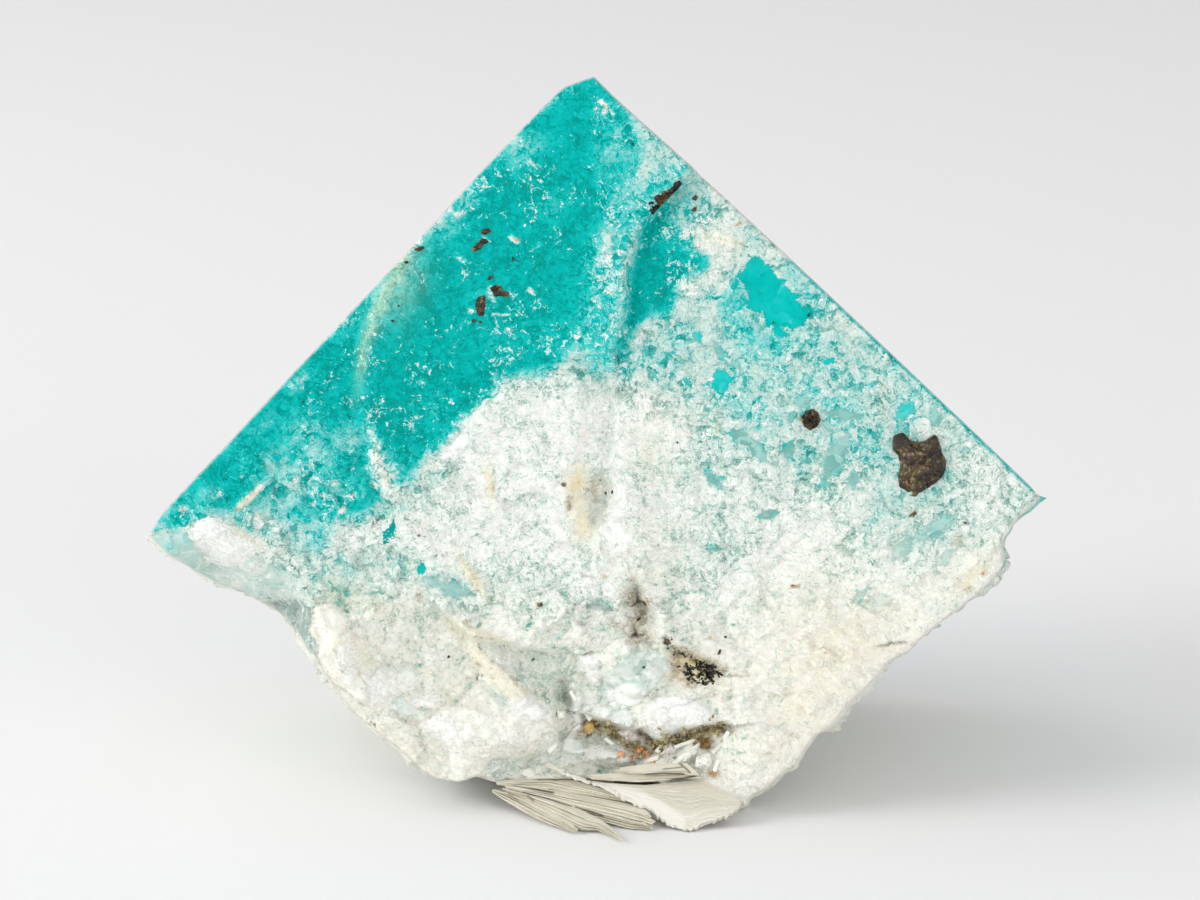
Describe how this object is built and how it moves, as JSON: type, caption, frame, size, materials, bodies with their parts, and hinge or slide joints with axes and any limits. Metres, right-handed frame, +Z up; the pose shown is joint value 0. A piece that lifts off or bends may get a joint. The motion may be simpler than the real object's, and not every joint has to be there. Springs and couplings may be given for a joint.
{
  "type": "rough amazonite specimen",
  "caption": "Rough teal and white feldspar block with two flat crystal faces and a hackly front, standing on a corner beside a small fan of mica leaves, with dark grains set in it.",
  "frame": {"origin": "bottom centre of the whole specimen's box, on the surface that it stands on", "axes": "+X along the long diagonal from the left tip to the right tip, +Y from the hackly front face to the back, +Z up"},
  "size_m": [0.0596, 0.0478, 0.0486],
  "materials": {
    "feldspar": "sugary broken feldspar, teal to white and cream, satin cleavage glints",
    "mica": "silvery beige mica leaves, finely fibrous, soft pearly gloss",
    "biotite": "dark brown, scaly, small bright glints",
    "tourmaline": "black glossy needles with a yellow-brown crust",
    "amber": "amber to rust, glossy, part see-through",
    "quartz": "greyish glassy crystal faces",
    "albite": "white glassy tabular crystals"
  },
  "bodies": {
    "root": {"amazonite_block": "feldspar", "mica_plate": "mica", "mica_leaf_1": "mica", "mica_leaf_2": "mica", "mica_leaf_3": "mica", "mica_leaf_4": "mica", "mica_leaf_5": "mica", "mica_leaf_6": "mica", "biotite_grain_right": "biotite", "biotite_grain_mid": "biotite", "biotite_blade_top": "biotite", "biotite_flake_1": "biotite", "biotite_flake_2": "biotite", "biotite_flake_3": "biotite", "biotite_flake_4": "biotite", "black_cluster": "tourmaline", "amber_grain": "amber", "rust_grain": "amber", "crevice_crystal_1": "quartz", "crevice_crystal_2": "quartz", "crevice_crystal_3": "albite", "crevice_crystal_4": "albite", "crevice_crystal_5": "albite"}
  },
  "joints": []
}
